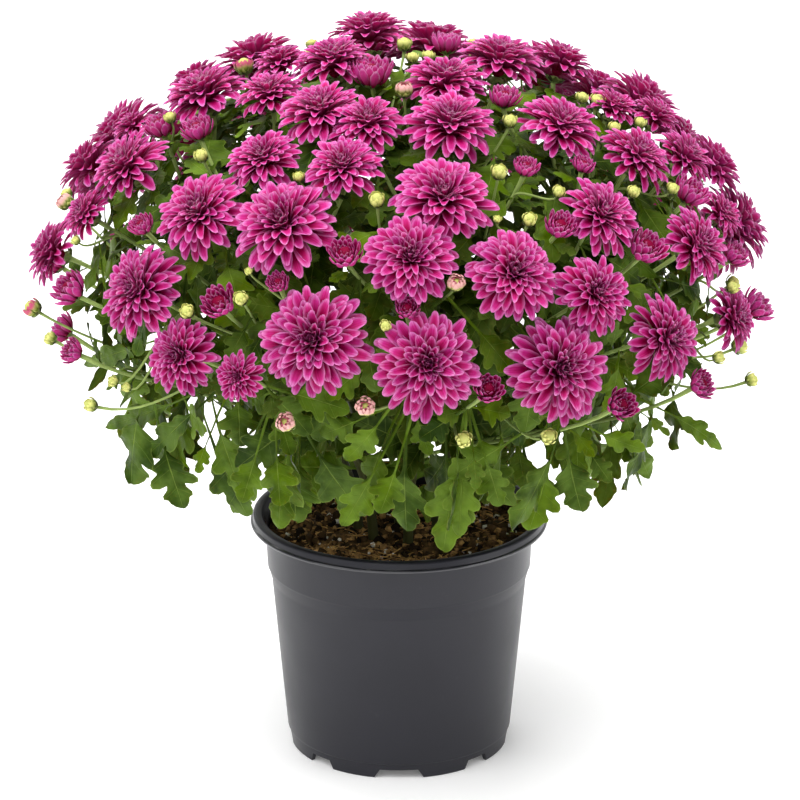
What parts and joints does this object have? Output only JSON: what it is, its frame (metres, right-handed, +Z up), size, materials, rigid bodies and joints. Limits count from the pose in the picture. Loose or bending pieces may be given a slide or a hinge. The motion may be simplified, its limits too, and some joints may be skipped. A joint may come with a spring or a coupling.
{
  "type": "pot chrysanthemum",
  "caption": "Potted chrysanthemum with a broad dome of magenta layered blooms, half-open blooms and buds on leafy stems, standing in soil in a dark plastic nursery pot.",
  "frame": {"origin": "on the surface that the pot stands on, in the middle of the whole plant's width and depth", "axes": "+Z up, parallel to the pot's axis, -Y towards the front, +X to the right seen from the front"},
  "size_m": [0.444, 0.4304, 0.4422],
  "materials": {
    "pot_plastic": "charcoal grey moulded polypropylene with a satin surface",
    "potting_soil": "dark brown peat with bark, fibres and white perlite; fabric stands in for a soft granular material",
    "foliage": "mid to dark green leaf blades and lighter green stems, satin, slightly downy; fabric stands in for plant tissue",
    "petal": "magenta petals with crimson bases and paler pink tips, matt and velvety; fabric stands in for petal tissue"
  },
  "bodies": {
    "root": {"bloom_01": "petal", "bloom_02": "petal", "bloom_03": "petal", "bloom_04": "petal", "bloom_05": "petal", "bloom_06": "petal", "bloom_07": "petal", "bloom_08": "petal", "bloom_10": "petal", "bloom_11": "petal", "bloom_12": "petal", "bloom_13": "petal", "bloom_14": "petal", "bloom_15": "petal", "bloom_16": "petal", "bloom_17": "petal", "bloom_18": "petal", "bloom_19": "petal", "bloom_21": "petal", "bloom_22": "petal", "bloom_23": "petal", "bloom_24": "petal", "bloom_26": "petal", "bloom_27": "petal", "bloom_29": "petal", "bloom_30": "petal", "bloom_31": "petal", "bloom_32": "petal", "bloom_33": "petal", "bloom_34": "petal", "bloom_35": "petal", "bloom_38": "petal", "bloom_43": "petal", "bloom_45": "petal", "bloom_48": "petal", "bunch_09": "petal", "bunch_20": "petal", "bunch_25": "petal", "bunch_28": "petal", "bunch_36": "petal", "bunch_37": "petal", "bunch_39": "petal", "bunch_40": "petal", "bunch_41": "petal", "bunch_42": "petal", "bunch_44": "petal", "bunch_46": "petal", "bunch_47": "petal", "bunch_49": "petal", "leafy_stem_0": "foliage", "leafy_stem_1": "foliage", "leafy_stem_2": "foliage", "leafy_stem_3": "foliage", "leafy_stem_4": "foliage", "leafy_stem_5": "foliage", "leafy_stem_6": "foliage", "leafy_stem_7": "foliage", "pot": "pot_plastic", "soil": "potting_soil"}
  },
  "joints": []
}
